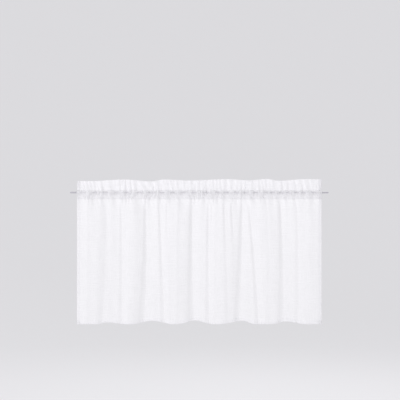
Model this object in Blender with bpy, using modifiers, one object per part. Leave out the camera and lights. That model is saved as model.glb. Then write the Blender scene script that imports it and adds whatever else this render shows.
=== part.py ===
"""Cafe curtain gathered on a slim rod.

The curtain is one cloth. Its top is turned to the back and sewn down twice, which makes the
ruffled heading and, under it, the casing that the rod runs through. Its bottom and sides are hemmed.

Metres. +X runs along the rod, -Y is the front, +Z is up, and the origin is the middle of the rod.
"""

import math
from collections import namedtuple

import bmesh
import bpy

# The rod
ROD_LENGTH = 0.808
ROD_DIAMETER = 0.005
ROD_SIDES = 24
ROD_EDGE_BEVEL = 0.0004

# The cloth, as cut and as hung
FLAT_WIDTH = 0.790
HUNG_WIDTH = 0.766
HEADING_TOP = 0.0385
UPPER_SEAM = 0.0060
ROUND_ROD_TOP = 0.0020
ROUND_ROD_BOTTOM = -0.0040
CASING_MIDDLE = -0.0130
LOWER_SEAM = -0.0205
HEM_EDGE = -0.4115
HEM_DEPTH = 0.0120
HEM_STEP = 0.0040
HEADING_FOLD = 0.0025
SIDE_HEM_DEPTH = 0.0100
CLOTH_THICKNESS = 0.0010
HEM_THICKNESS = 0.0018
LAYER_SPACING = 0.00135
ROD_CLEARANCE = 0.0010

# Depths of the small tucks on the rod and of the long folds under it, before they are scaled so that
# every height of the curtain takes up the same flat width. A fold's crease has a slow lead, then a
# drop whose half width grows from the casing to the hem. Round the rod, the casing puffs out by
# PUFF_SHARE of how far the wave stands past CONTACT_SHARE of a tuck, and elsewhere it lies on the rod.
TUCK_DEPTH = 0.0045
PUFF_SHARE = 0.80
CONTACT_SHARE = 0.50
FOLD_DEPTH = 0.0082
LEAD = 0.0300
LEAD_SHARE = 0.18
FLANK_POWER = 1.25
CREASE_HALF_TOP = 0.0045
CREASE_HALF_HEM = 0.0130
SMALL_HALF_TOP = 0.0035
SMALL_HALF_HEM = 0.0080
SWELL = 0.0340
SWELL_SKEW = 1.20
HEADING_FLARE = 1.30
LAYERS_JOIN_IN = 0.0300
LIFT_POWER = 3.0
SETTLED = 0.5
COLUMNS = 120

# How finely the cloth's width is measured when its waves are scaled to it
MEASURING_STEPS = 1200
HALVINGS = 24
MOST_SCALE = 4.0
SLOPE_STEP = 0.0005

# A tuck is where the casing lies on the rod: x, from the left edge to the right.
Tuck = namedtuple("Tuck", "x")
TUCKS = (
    Tuck(-0.369), Tuck(-0.325), Tuck(-0.294), Tuck(-0.259), Tuck(-0.227), Tuck(-0.186),
    Tuck(-0.152), Tuck(-0.117), Tuck(-0.084), Tuck(-0.051), Tuck(-0.016), Tuck(0.021),
    Tuck(0.058), Tuck(0.084), Tuck(0.116), Tuck(0.144), Tuck(0.176), Tuck(0.207),
    Tuck(0.229), Tuck(0.256), Tuck(0.277), Tuck(0.302), Tuck(0.325), Tuck(0.358),
)
EDGE_TUCK_PITCH = 0.032

# A long fold drops back at its crease and comes forward again over its flank. The crease's x is given
# at the lower seam, half way down and at the hem, the flank's width at the seam and at the hem, and
# depth as a share of FOLD_DEPTH.
Fold = namedtuple("Fold", "top middle hem flank_top flank_hem depth")
FOLDS = (
    Fold(-0.294, -0.295, -0.306, 0.040, 0.056, 0.15),
    Fold(-0.173, -0.174, -0.186, 0.042, 0.062, 0.68),
    Fold(-0.026, -0.030, -0.029, 0.046, 0.052, 0.65),
    Fold(0.131, 0.124, 0.114, 0.022, 0.060, 0.65),
    Fold(0.250, 0.255, 0.252, 0.046, 0.050, 0.60),
)

# A small fold is a finer crease with a short flank: its x as it hangs at the lower seam, half way down
# and at the hem, its flank's width, and its depth at the seam and from SETTLED of the way down.
SmallFold = namedtuple("SmallFold", "top middle hem flank depth_top depth_hem")
SMALL_FOLDS = (
    SmallFold(-0.350, -0.346, -0.349, 0.026, 0.0010, 0.0008),
    SmallFold(-0.248, -0.247, -0.250, 0.026, 0.0028, 0.0018),
    SmallFold(-0.129, -0.122, -0.117, 0.024, 0.0024, 0.0026),
    SmallFold(-0.103, -0.106, -0.108, 0.018, 0.0030, 0.0),
    SmallFold(-0.064, -0.068, -0.066, 0.024, 0.0012, 0.0006),
    SmallFold(0.027, 0.024, 0.024, 0.022, 0.0036, 0.0032),
    SmallFold(0.038, 0.032, 0.026, 0.014, 0.0030, 0.0),
    SmallFold(0.074, 0.080, 0.082, 0.024, 0.0030, 0.0015),
    SmallFold(0.096, 0.106, 0.113, 0.016, 0.0036, 0.0),
    SmallFold(0.149, 0.168, 0.179, 0.026, 0.0028, 0.0032),
    SmallFold(0.207, 0.214, 0.212, 0.024, 0.0014, 0.0008),
    SmallFold(0.303, 0.305, 0.303, 0.024, 0.0018, 0.0018),
)

# A scallop is a stretch of the hem that the folds hold up: its highest point's x as it hangs, its
# reach to the left and to the right, and its rise.
Scallop = namedtuple("Scallop", "x left right rise")
SCALLOPS = (
    Scallop(-0.289, 0.030, 0.062, 0.0050),
    Scallop(-0.145, 0.066, 0.064, 0.0100),
    Scallop(-0.010, 0.064, 0.052, 0.0105),
    Scallop(0.140, 0.082, 0.032, 0.0095),
    Scallop(0.273, 0.048, 0.060, 0.0080),
)

# How far the heading's top edge stands above or below HEADING_TOP: x and rise.
Crest = namedtuple("Crest", "x rise")
HEADING_CRESTS = (
    Crest(-0.383, -0.002), Crest(-0.340, -0.003), Crest(-0.235, 0.002), Crest(-0.150, -0.004),
    Crest(-0.110, 0.002), Crest(-0.040, -0.001), Crest(0.090, 0.003), Crest(0.157, -0.001),
    Crest(0.211, 0.004), Crest(0.248, -0.002), Crest(0.325, 0.003), Crest(0.383, 0.003),
)

# A station is one line across the cloth on its way from the hem up the front, over the heading's
# fold and down the back of the casing: its height, its side, how far it stands round the rod, and
# the shares of the tucks and of the long folds in it.
Station = namedtuple("Station", "z side round_rod tucks folds hem")
FRONT, FOLDED_EDGE, BACK = -1, 0, 1
STATIONS = (
    Station(HEM_EDGE, FRONT, 0.0, 0.02, 1.00, True),
    Station(HEM_EDGE + HEM_DEPTH, FRONT, 0.0, 0.02, 1.00, True),
    Station(HEM_EDGE + HEM_DEPTH + HEM_STEP, FRONT, 0.0, 0.02, 1.00, False),
    Station(-0.335, FRONT, 0.0, 0.03, 1.00, False),
    Station(-0.270, FRONT, 0.0, 0.03, 1.00, False),
    Station(-0.205, FRONT, 0.0, 0.04, 1.00, False),
    Station(-0.145, FRONT, 0.0, 0.05, 1.00, False),
    Station(-0.095, FRONT, 0.0, 0.08, 1.00, False),
    Station(-0.060, FRONT, 0.0, 0.14, 0.95, False),
    Station(-0.038, FRONT, 0.0, 0.28, 0.82, False),
    Station(LOWER_SEAM, FRONT, 0.0, 1.00, 0.50, False),
    Station(CASING_MIDDLE, FRONT, 0.50, 1.00, 0.20, False),
    Station(ROUND_ROD_BOTTOM, FRONT, 1.00, 1.00, 0.0, False),
    Station(ROUND_ROD_TOP, FRONT, 1.00, 1.00, 0.0, False),
    Station(UPPER_SEAM, FRONT, 0.0, 0.80, 0.0, False),
    Station(HEADING_TOP - HEADING_FOLD, FRONT, 0.0, HEADING_FLARE, 0.10, False),
    Station(HEADING_TOP - CLOTH_THICKNESS / 2, FOLDED_EDGE, 0.0, HEADING_FLARE, 0.10, False),
    Station(HEADING_TOP - HEADING_FOLD, BACK, 0.0, HEADING_FLARE, 0.10, False),
    Station(UPPER_SEAM, BACK, 0.0, 0.80, 0.0, False),
    Station(ROUND_ROD_TOP, BACK, 1.00, 1.00, 0.0, False),
    Station(ROUND_ROD_BOTTOM, BACK, 1.00, 1.00, 0.0, False),
    Station(CASING_MIDDLE, BACK, 0.50, 1.00, 0.20, False),
    Station(LOWER_SEAM, BACK, 0.0, 1.00, 0.50, False),
)

# Finishes
CLOTH_COLOUR = (0.93, 0.93, 0.945, 1.0)
CLOTH_ROUGHNESS = 0.85
ROD_COLOUR = (0.82, 0.82, 0.84, 1.0)
ROD_ROUGHNESS = 0.35
SHARP_ANGLE = math.radians(35)


def clear_scene():
    """Removes every object that the scene starts with."""
    for obj in list(bpy.data.objects):
        bpy.data.objects.remove(obj)


def material(name, colour, roughness):
    """A Principled material of one plain finish, without metal."""
    made = bpy.data.materials.new(name)
    made.use_nodes = True
    shader = made.node_tree.nodes["Principled BSDF"]
    shader.inputs["Base Color"].default_value = colour
    shader.inputs["Roughness"].default_value = roughness
    shader.inputs["Metallic"].default_value = 0.0
    return made


def smooth(t):
    """Runs from 0 to 1 with level ends as t does."""
    t = min(1.0, max(0.0, t))
    return t * t * (3.0 - 2.0 * t)


def between(x, low, high, at_low, at_high):
    """The value at x on a smooth step from (low, at_low) to (high, at_high)."""
    return at_low + (at_high - at_low) * smooth((x - low) / (high - low))


def through(x, points):
    """A smooth curve through (x, value) points, level outside them."""
    if x <= points[0][0]:
        return points[0][1]
    for (low, at_low), (high, at_high) in zip(points, points[1:]):
        if x <= high:
            return between(x, low, high, at_low, at_high)
    return points[-1][1]


def way_down(z):
    """0 at the lower seam and above it, 1 at the hem's edge."""
    return min(1.0, max(0.0, (LOWER_SEAM - z) / (LOWER_SEAM - HEM_EDGE)))


def crease_shift(fold, down):
    """How far a fold's crease has moved along X from its place at the seam."""
    middle, hem = fold.middle - fold.top, fold.hem - fold.top
    return 4.0 * middle * down * (1.0 - down) + hem * down * (2.0 * down - 1.0)


def hung_x(x, down):
    """Where a point at x along the seam hangs, so that a thread follows the crease beside it."""
    edge = HUNG_WIDTH / 2
    shifts = [(-edge, 0.0)]
    shifts += [(fold.top, crease_shift(fold, down)) for fold in FOLDS]
    shifts += [(edge, 0.0)]
    return x + through(x, shifts)


def tuck_wave(x):
    """1 where the casing lies on the rod, down to about -1 on the puff between two tucks."""
    edges = [tuck.x for tuck in TUCKS]
    edges = [edges[0] - EDGE_TUCK_PITCH, *edges, edges[-1] + EDGE_TUCK_PITCH]
    mean_pitch = (edges[-1] - edges[0]) / (len(edges) - 1)
    for low, high in zip(edges, edges[1:]):
        if x <= high:
            break
    share = (x - low) / (high - low)
    return 1.0 - 2.0 * (high - low) / mean_pitch * math.sin(math.pi * share) ** 2


def recess(past, half_width, flank, lead, lead_share):
    """0 to 1: a slow lead, a steep drop over the crease, then a flank that comes forward evenly."""
    if past < half_width:
        slow = min(1.0, max(0.0, (past + lead) / (lead - half_width)))
        drop = smooth((past + half_width) / (2 * half_width))
        return lead_share * slow ** 2 + (1.0 - lead_share) * drop
    share = min(1.0, (past - half_width) / (flank - half_width))
    return (1.0 - share) ** FLANK_POWER


def swell(x, down):
    """The forward bow of the cloth between one fold's flank and the next crease, in metres."""
    edge = HUNG_WIDTH / 2
    starts = [-edge]
    starts += [f.top + f.flank_top + (f.flank_hem - f.flank_top) * down for f in FOLDS]
    ends = [fold.top for fold in FOLDS] + [edge]
    for start, end in zip(starts, ends):
        if start < x < end:
            share = (x - start) / (end - start)
            return SWELL * (end - start) * math.sin(math.pi * share ** SWELL_SKEW)
    return 0.0


def fold_wave(x, down):
    """The long folds' depth at x, in metres, before scaling: + is towards the back."""
    depth = -swell(x, down)
    crease_half = CREASE_HALF_TOP + (CREASE_HALF_HEM - CREASE_HALF_TOP) * down
    small_half = SMALL_HALF_TOP + (SMALL_HALF_HEM - SMALL_HALF_TOP) * down
    for fold in FOLDS:
        flank = fold.flank_top + (fold.flank_hem - fold.flank_top) * down
        depth += FOLD_DEPTH * fold.depth * recess(x - fold.top, crease_half, flank, LEAD, LEAD_SHARE)
    for fold in SMALL_FOLDS:
        size = between(down, 0.0, SETTLED, fold.depth_top, fold.depth_hem)
        past = hung_x(x, down) - fold.top - crease_shift(fold, down)
        depth += size * recess(past, small_half, fold.flank, fold.flank, 0.0)
    return depth


def natural_depth(x, station):
    """The cloth's depth at x on a station, tucks and long folds together, before scaling."""
    tucks = station.tucks * TUCK_DEPTH * tuck_wave(x)
    return tucks + station.folds * fold_wave(x, way_down(station.z))


def measured(station):
    """The mean depth of a station, and the scale at which its waves take up FLAT_WIDTH."""
    places = [HUNG_WIDTH * (i / MEASURING_STEPS - 0.5) for i in range(MEASURING_STEPS + 1)]
    across = [hung_x(x, way_down(station.z)) for x in places]
    depths = [natural_depth(x, station) for x in places]
    steps = [(b - a, d - c) for a, b, c, d in zip(across, across[1:], depths, depths[1:])]
    low, high = 0.0, MOST_SCALE
    for _ in range(HALVINGS):
        scale = (low + high) / 2
        if sum(math.hypot(dx, scale * dy) for dx, dy in steps) < FLAT_WIDTH:
            low = scale
        else:
            high = scale
    return sum(depths) / len(depths), scale


def wave(x, station, level, scale):
    """The cloth's depth at x on a station, level with the rod's axis on the whole."""
    return scale * (natural_depth(x, station) - level)


def hem_lift(across, down):
    """How far the scallops raise the cloth at a place, all at the hem and little above it."""
    lift = 0.0
    for scallop in SCALLOPS:
        reach = scallop.left if across < scallop.x else scallop.right
        lift += scallop.rise * smooth(1.0 - abs(across - scallop.x) / reach)
    return lift * down ** LIFT_POWER


def cloth_point(x, station, level, scale):
    """The place of the cloth's middle surface at x across and one station along it."""
    down = way_down(station.z)
    depth = wave(x, station, level, scale)
    slope = (wave(x + SLOPE_STEP, station, level, scale) - depth) / SLOPE_STEP
    apart = station.side * LAYER_SPACING / 2
    if station.z < LOWER_SEAM and station.side == FRONT:
        apart *= 1.0 - smooth((LOWER_SEAM - station.z) / LAYERS_JOIN_IN)
    length = math.hypot(1.0, slope)
    across, back = hung_x(x, down) - apart * slope / length, depth + apart / length

    clear = (ROD_DIAMETER + CLOTH_THICKNESS) / 2 + ROD_CLEARANCE
    puff = PUFF_SHARE * max(0.0, CONTACT_SHARE * TUCK_DEPTH + station.side * depth)
    round_rod = station.side * (clear + puff)
    back += station.round_rod * (round_rod - back)

    z = station.z + hem_lift(across, down)
    if station.z > UPPER_SEAM:
        share = (station.z - UPPER_SEAM) / (HEADING_TOP - UPPER_SEAM)
        z += share * through(x, [(crest.x, crest.rise) for crest in HEADING_CRESTS])
    return across, back, z


def is_hemmed(x, station):
    """Whether this point is in the bottom hem, or in a side hem under the casing."""
    in_side_hem = HUNG_WIDTH / 2 - abs(x) <= SIDE_HEM_DEPTH
    return station.hem or (in_side_hem and station.z < LOWER_SEAM)


def build_cloth(collection, finish):
    """The cloth: a grid laid on the stations, given its thickness by Solidify."""
    rows = []
    for station in STATIONS:
        rows.append((station, *measured(station)))

    grid = bmesh.new()
    bmesh.ops.create_grid(grid, x_segments=COLUMNS, y_segments=len(rows) - 1, size=0.5)
    hemmed = {}
    for vertex in grid.verts:
        x = vertex.co.x * HUNG_WIDTH
        station, level, scale = rows[round((vertex.co.y + 0.5) * (len(rows) - 1))]
        hemmed[vertex.index] = is_hemmed(x, station)
        vertex.co = cloth_point(x, station, level, scale)
    grid.normal_update()
    bmesh.ops.recalc_face_normals(grid, faces=grid.faces)
    mesh = bpy.data.meshes.new("curtain")
    grid.to_mesh(mesh)
    grid.free()

    cloth = bpy.data.objects.new("curtain", mesh)
    cloth.data.materials.append(finish)
    collection.objects.link(cloth)
    weights = cloth.vertex_groups.new(name="thickness")
    for index, thick in hemmed.items():
        weights.add([index], 1.0 if thick else CLOTH_THICKNESS / HEM_THICKNESS, "REPLACE")
    solidify = cloth.modifiers.new("thickness", "SOLIDIFY")
    solidify.thickness = HEM_THICKNESS
    solidify.offset = 0.0
    solidify.use_even_offset = False
    solidify.use_quality_normals = True
    solidify.vertex_group = weights.name
    mesh.shade_smooth()
    return cloth


def build_rod(collection, finish):
    """The rod: a plain round bar, bare for a short way at each end."""
    bpy.ops.mesh.primitive_cylinder_add(
        vertices=ROD_SIDES, radius=ROD_DIAMETER / 2, depth=ROD_LENGTH,
        rotation=(0.0, math.pi / 2, 0.0),
    )
    rod = bpy.context.object
    rod.name = "rod"
    for owner in list(rod.users_collection):
        owner.objects.unlink(rod)
    collection.objects.link(rod)
    rod.data.materials.append(finish)
    bevel = rod.modifiers.new("rounded ends", "BEVEL")
    bevel.width = ROD_EDGE_BEVEL
    bevel.segments = 1
    bevel.limit_method = "ANGLE"
    rod.data.shade_smooth()
    rod.data.set_sharp_from_angle(angle=SHARP_ANGLE)
    return rod


def main():
    """Builds the curtain and its rod in one collection."""
    clear_scene()
    collection = bpy.data.collections.new("cafe curtain and rod")
    bpy.context.scene.collection.children.link(collection)
    build_cloth(collection, material("white voile", CLOTH_COLOUR, CLOTH_ROUGHNESS))
    build_rod(collection, material("white painted rod", ROD_COLOUR, ROD_ROUGHNESS))


main()
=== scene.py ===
"""Cafe curtain on its rod: the finished look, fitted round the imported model.

The cloth is one sheet, cut wider and longer than it hangs. It is laid along its own making-up: the
turned bottom hem, the front, the fold at the top of the heading and the facing down the back, with
a narrow hem turned in at each side. All of it follows one drape, which gives the cloth's depth at
any place along the rod and any height.

Metres. +X runs along the rod, -Y is the front, +Z is up, and the origin is the middle of the rod.
"""

import logging
import math
from dataclasses import dataclass, field
from enum import Enum

import bmesh
import bpy
import numpy as np
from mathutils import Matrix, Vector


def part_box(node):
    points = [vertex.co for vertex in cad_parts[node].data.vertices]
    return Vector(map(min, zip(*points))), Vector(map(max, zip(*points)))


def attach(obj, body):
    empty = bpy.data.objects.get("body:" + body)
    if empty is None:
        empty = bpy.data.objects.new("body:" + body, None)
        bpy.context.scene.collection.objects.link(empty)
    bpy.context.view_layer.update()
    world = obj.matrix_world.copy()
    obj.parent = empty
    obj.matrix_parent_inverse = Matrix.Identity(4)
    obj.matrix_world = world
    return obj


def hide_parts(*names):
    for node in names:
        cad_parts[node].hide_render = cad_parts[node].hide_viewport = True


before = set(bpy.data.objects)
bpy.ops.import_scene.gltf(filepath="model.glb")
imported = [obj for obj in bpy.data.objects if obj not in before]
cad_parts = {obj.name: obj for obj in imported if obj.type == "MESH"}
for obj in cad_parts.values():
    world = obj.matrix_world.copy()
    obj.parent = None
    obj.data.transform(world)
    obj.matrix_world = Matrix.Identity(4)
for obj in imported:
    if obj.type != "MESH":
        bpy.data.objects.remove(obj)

LOG = logging.getLogger("cafe_curtain")
Array = np.ndarray
Triple = tuple[float, float, float]
Pair = tuple[float, float]
Piece = bpy.types.Object
Material = bpy.types.Material
Node = bpy.types.Node
Socket = bpy.types.NodeSocket
MILLIMETRES = 1000.0

# A flank falls away by this power of what is left of it, and 1 would make it a straight slope.
FLANK_POWER = 1.25


def eased(share: Array) -> Array:
    """Runs from 0 to 1 with level ends, by the cubic 3t^2 - 2t^3.

    Args:
        share: How far along, held within 0 and 1.

    Returns:
        The eased share.
    """
    held = np.clip(share, 0.0, 1.0)
    return held * held * (3.0 - 2.0 * held)


def bell(distance: Array, half_width: float) -> Array:
    """A soft bump of height 1, by the Gaussian exp(-(distance / half_width)^2)."""
    return np.exp(-((distance / half_width) ** 2))


def blend(low: Array | float, high: Array | float, share: Array) -> Array:
    """Goes from low to high in a straight line as the share goes from 0 to 1."""
    return low + (high - low) * share


def through(x: Array, places: Array, values: Array) -> Array:
    """A curve through given points, eased between each two and level outside them.

    Args:
        x: Where to read the curve.
        places: The points' places, rising.
        values: The points' values on the last axis, one set for each x or one for all.

    Returns:
        The curve's value at each x.
    """
    low = np.clip(np.searchsorted(places, x) - 1, 0, len(places) - 2)
    share = eased((x - places[low]) / (places[low + 1] - places[low]))
    held = np.broadcast_to(values, (*x.shape, len(places)))
    at_low = np.take_along_axis(held, low[..., None], -1)[..., 0]
    at_high = np.take_along_axis(held, low[..., None] + 1, -1)[..., 0]
    return blend(at_low, at_high, share)


def recess(past: Array, half_width: Array, flank: Array | float, lead: float, lead_share: float) -> Array:
    """A crease's section, 0 to 1: a slow lead as a square, an eased drop, then an even flank.

    Args:
        past: How far past the crease along X.
        half_width: Half the drop's width.
        flank: Where the flank ends, past the crease.
        lead: Where the lead starts, short of the crease.
        lead_share: The depth that is reached by the lead alone.

    Returns:
        The share of the fold's depth.
    """
    slow = lead_share * np.clip((past + lead) / (lead - half_width), 0.0, 1.0) ** 2
    drop = (1.0 - lead_share) * eased((past + half_width) / (2 * half_width))
    share = np.clip((past - half_width) / (flank - half_width), 0.0, 1.0)
    return np.where(past < half_width, slow + drop, (1.0 - share) ** FLANK_POWER)


def path_shift(middle: Array, hem: Array, down: Array) -> Array:
    """How far a line on the cloth has moved along X, by the parabola through its three places.

    Args:
        middle: The move half way down.
        hem: The move at the hem.
        down: 0 at the casing, 1 at the hem.

    Returns:
        The move at that height.
    """
    return 4.0 * middle * down * (1.0 - down) + hem * down * (2.0 * down - 1.0)


@dataclass(frozen=True)
class Fold:
    """A long fold: a steep crease, then a slower flank that comes forward again.

    The crease's x is given under the casing, half way down and at the hem, the flank's width under
    the casing and at the hem. Depth is a share of the drape's fold depth.
    """

    top: float
    middle: float
    hem: float
    flank_top: float
    flank_hem: float
    depth: float

    def flank(self, down: Array) -> Array:
        """The flank's width at a height."""
        return blend(self.flank_top, self.flank_hem, down)


@dataclass(frozen=True)
class SmallFold:
    """A finer crease with a short flank.

    Its x is as it hangs, under the casing, half way down and at the hem. Its depth is given under
    the casing and from half way down.
    """

    top: float
    middle: float
    hem: float
    flank: float
    depth_top: float
    depth_hem: float


@dataclass(frozen=True)
class Scallop:
    """A stretch of the hem that the folds hold up: its highest point, its reach and its rise."""

    x: float
    left: float
    right: float
    rise: float


@dataclass(frozen=True)
class Crest:
    """How far the heading's top edge stands above its mean height at x."""

    x: float
    rise: float


@dataclass(frozen=True)
class Level:
    """The make-up of the cloth at one height: how far it goes round the rod, and its waves.

    Fine is how much of the tucks has given way to the heading's finer pleats.
    """

    z: float
    round_rod: float
    tucks: float
    folds: float
    fine: float = 0.0


class Share(Enum):
    """What a level says of the cloth, by the name of its field."""

    ROUND_ROD = "round_rod"
    TUCKS = "tucks"
    FOLDS = "folds"
    FINE = "fine"


@dataclass(frozen=True)
class Wander:
    """A noise over the cloth: which sheet of chance values, its cells' width and height, its start."""

    sheet: int
    width: float
    height: float
    start: float


@dataclass
class Drape:
    """How the cloth hangs: one formula for its depth, shared by the cloth, seams and stitches.

    Of the pairs, crease_half and small_half are at the casing and at the hem, heading_pitches and
    heading_phases are the broad and the fine pleats', heading_size and pucker_strength are a mean
    and its change, and of two noises the first moves the waves and the second sets their size.
    """

    flat_width: float = 0.790
    hung_width: float = 0.766
    heading_top: float = 0.0385
    upper_seam: float = 0.0060
    lower_seam: float = -0.0205
    hem_edge: float = -0.4115
    hem_depth: float = 0.0120
    side_hem: float = 0.0100
    rod_radius: float = 0.0025
    rod_gap: float = 0.00055
    layer_half: float = 0.00035
    tuck_depth: float = 0.0045
    edge_tuck_pitch: float = 0.032
    puff_share: float = 0.80
    contact_share: float = 0.50
    fold_depth: float = 0.0082
    lead: float = 0.030
    lead_share: float = 0.18
    crease_half: Pair = (0.0045, 0.0130)
    small_half: Pair = (0.0035, 0.0080)
    swell: float = 0.0340
    swell_skew: float = 1.20
    slope_step: float = 0.0005
    measured_places: int = 1201
    measured_heights: int = 181
    most_scale: float = 4.0
    halvings: int = 24

    tucks: tuple[float, ...] = (
        -0.369, -0.325, -0.294, -0.259, -0.227, -0.186, -0.152, -0.117, -0.084, -0.051, -0.016,
        0.021, 0.058, 0.084, 0.116, 0.144, 0.176, 0.207, 0.229, 0.256, 0.277, 0.302, 0.325, 0.358,
    )
    folds: tuple[Fold, ...] = (
        Fold(-0.294, -0.295, -0.306, 0.040, 0.056, 0.15),
        Fold(-0.173, -0.174, -0.186, 0.042, 0.062, 0.68),
        Fold(-0.026, -0.030, -0.029, 0.046, 0.052, 0.65),
        Fold(0.131, 0.124, 0.114, 0.022, 0.060, 0.65),
        Fold(0.250, 0.255, 0.252, 0.046, 0.050, 0.60),
    )
    small_folds: tuple[SmallFold, ...] = (
        SmallFold(-0.350, -0.346, -0.349, 0.026, 0.0010, 0.0008),
        SmallFold(-0.248, -0.247, -0.250, 0.026, 0.0028, 0.0018),
        SmallFold(-0.129, -0.122, -0.117, 0.024, 0.0024, 0.0026),
        SmallFold(-0.103, -0.106, -0.108, 0.018, 0.0030, 0.0),
        SmallFold(-0.064, -0.068, -0.066, 0.024, 0.0012, 0.0006),
        SmallFold(0.027, 0.024, 0.024, 0.022, 0.0036, 0.0032),
        SmallFold(0.038, 0.032, 0.026, 0.014, 0.0030, 0.0),
        SmallFold(0.074, 0.080, 0.082, 0.024, 0.0030, 0.0015),
        SmallFold(0.096, 0.106, 0.113, 0.016, 0.0036, 0.0),
        SmallFold(0.149, 0.168, 0.179, 0.026, 0.0028, 0.0032),
        SmallFold(0.207, 0.214, 0.212, 0.024, 0.0014, 0.0008),
        SmallFold(0.303, 0.305, 0.303, 0.024, 0.0018, 0.0018),
    )
    scallops: tuple[Scallop, ...] = (
        Scallop(-0.289, 0.030, 0.062, 0.0050),
        Scallop(-0.145, 0.066, 0.064, 0.0100),
        Scallop(-0.010, 0.064, 0.052, 0.0105),
        Scallop(0.140, 0.082, 0.032, 0.0095),
        Scallop(0.273, 0.048, 0.060, 0.0080),
    )
    crests: tuple[Crest, ...] = (
        Crest(-0.383, -0.002), Crest(-0.340, -0.003), Crest(-0.235, 0.002), Crest(-0.150, -0.004),
        Crest(-0.110, 0.002), Crest(-0.040, -0.001), Crest(0.090, 0.003), Crest(0.157, -0.001),
        Crest(0.211, 0.004), Crest(0.248, -0.002), Crest(0.325, 0.003), Crest(0.383, 0.003),
    )
    levels: tuple[Level, ...] = (
        Level(-0.4115, 0.00, 0.02, 1.00),
        Level(-0.2700, 0.00, 0.03, 1.00),
        Level(-0.1450, 0.00, 0.05, 1.00),
        Level(-0.0950, 0.00, 0.08, 1.00),
        Level(-0.0600, 0.00, 0.14, 0.95),
        Level(-0.0400, 0.00, 0.26, 0.85),
        Level(-0.0280, 0.00, 0.55, 0.65),
        Level(-0.0205, 0.00, 1.00, 0.50),
        Level(-0.0130, 0.50, 1.00, 0.20),
        Level(-0.0040, 1.00, 1.00, 0.00),
        Level(0.0020, 1.00, 1.00, 0.00),
        Level(0.0060, 0.00, 0.80, 0.00, 0.40),
        Level(0.0110, 0.00, 1.00, 0.02, 0.75),
        Level(0.0385, 0.00, 1.30, 0.10, 0.85),
    )
    crumple_depth: float = 0.0006
    heading_pitches: Pair = (0.0215, 0.0112)
    heading_phases: Pair = (3.5, 5.0)
    heading_size: Pair = (0.65, 0.55)
    fine_pleat_most: float = 1.3
    fine_pleat_share: float = 0.55
    pucker_pitch: float = 0.0165
    pucker_depth: float = 0.0034
    pucker_phase: float = 2.6
    pucker_strength: Pair = (0.60, 0.40)
    seam_pucker_reach: float = 0.016

    seed: int = 11
    chance_grid: tuple[int, int, int] = (3, 96, 32)
    chance_rise: float = 8.0
    heading_noises: tuple[Wander, Wander] = (
        Wander(0, 0.050, 0.060, 20.0), Wander(1, 0.026, 0.090, 20.0),
    )
    front_puckers: tuple[Wander, Wander] = (
        Wander(0, 0.030, 0.026, 40.0), Wander(1, 0.022, 0.200, 40.0),
    )
    back_puckers: tuple[Wander, Wander] = (
        Wander(2, 0.030, 0.026, 40.0), Wander(1, 0.022, 0.200, 58.0),
    )
    crumples: Wander = Wander(2, 0.016, 0.050, 48.0)

    _heights: Array = field(init=False)
    _scales: Array = field(init=False)
    _means: Array = field(init=False)
    _chances: Array = field(init=False)

    def __post_init__(self) -> None:
        """Measures the waves at every height, so that each takes up the same flat width."""
        chance = np.random.default_rng(self.seed)
        self._chances = chance.uniform(-1.0, 1.0, self.chance_grid)
        self._heights = np.linspace(self.hem_edge, self.heading_top, self.measured_heights)
        edge = self.hung_width / 2
        x, z = np.meshgrid(np.linspace(-edge, edge, self.measured_places), self._heights)
        across = np.diff(self.hung_x(x, self.down(z)), axis=1)
        depths = self.natural_depth(x, z)
        steps = np.diff(depths, axis=1)
        low = np.zeros(len(self._heights))
        high = np.full(len(self._heights), self.most_scale)
        for _ in range(self.halvings):
            scale = (low + high) / 2
            length = np.hypot(across, scale[:, None] * steps).sum(axis=1)
            low = np.where(length < self.flat_width, scale, low)
            high = np.where(length < self.flat_width, high, scale)
        self._scales = (low + high) / 2
        self._means = depths.mean(axis=1)
        LOG.info("drape: waves scaled by %.2f to %.2f", self._scales.min(), self._scales.max())

    def down(self, z: Array) -> Array:
        """0 at the lower seam and above it, 1 at the hem's edge."""
        return np.clip((self.lower_seam - z) / (self.lower_seam - self.hem_edge), 0.0, 1.0)

    def at_level(self, z: Array, share: Share) -> Array:
        """One of the levels' shares at a height, on straight lines between the levels."""
        heights = [level.z for level in self.levels]
        return np.interp(z, heights, [getattr(level, share.value) for level in self.levels])

    def hung_x(self, x: Array, down: Array) -> Array:
        """Where a point at x along the seam hangs, so that a thread follows the crease beside it.

        Args:
            x: The place along the seam.
            down: 0 at the casing, 1 at the hem.

        Returns:
            x moved by the shift of the creases to its left and right, eased between them.
        """
        edge = self.hung_width / 2
        places = np.array([-edge, *(fold.top for fold in self.folds), edge])
        level = np.zeros_like(down)
        moves = [path_shift(f.middle - f.top, f.hem - f.top, down) for f in self.folds]
        return x + through(x, places, np.stack([level, *moves, level], axis=-1))

    def tuck_wave(self, x: Array) -> Array:
        """The tucks along the rod: a squared sine between each two, deeper where they are further apart.

        Args:
            x: The place along the seam.

        Returns:
            1 where the casing lies on the rod, down to about -1 on the puff between two tucks.
        """
        first, last = self.tucks[0] - self.edge_tuck_pitch, self.tucks[-1] + self.edge_tuck_pitch
        edges = np.array([first, *self.tucks, last])
        pitch = np.diff(edges)
        low = np.clip(np.searchsorted(edges, x) - 1, 0, len(pitch) - 1)
        share = (x - edges[low]) / pitch[low]
        return 1.0 - 2.0 * pitch[low] / pitch.mean() * np.sin(math.pi * share) ** 2

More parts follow.
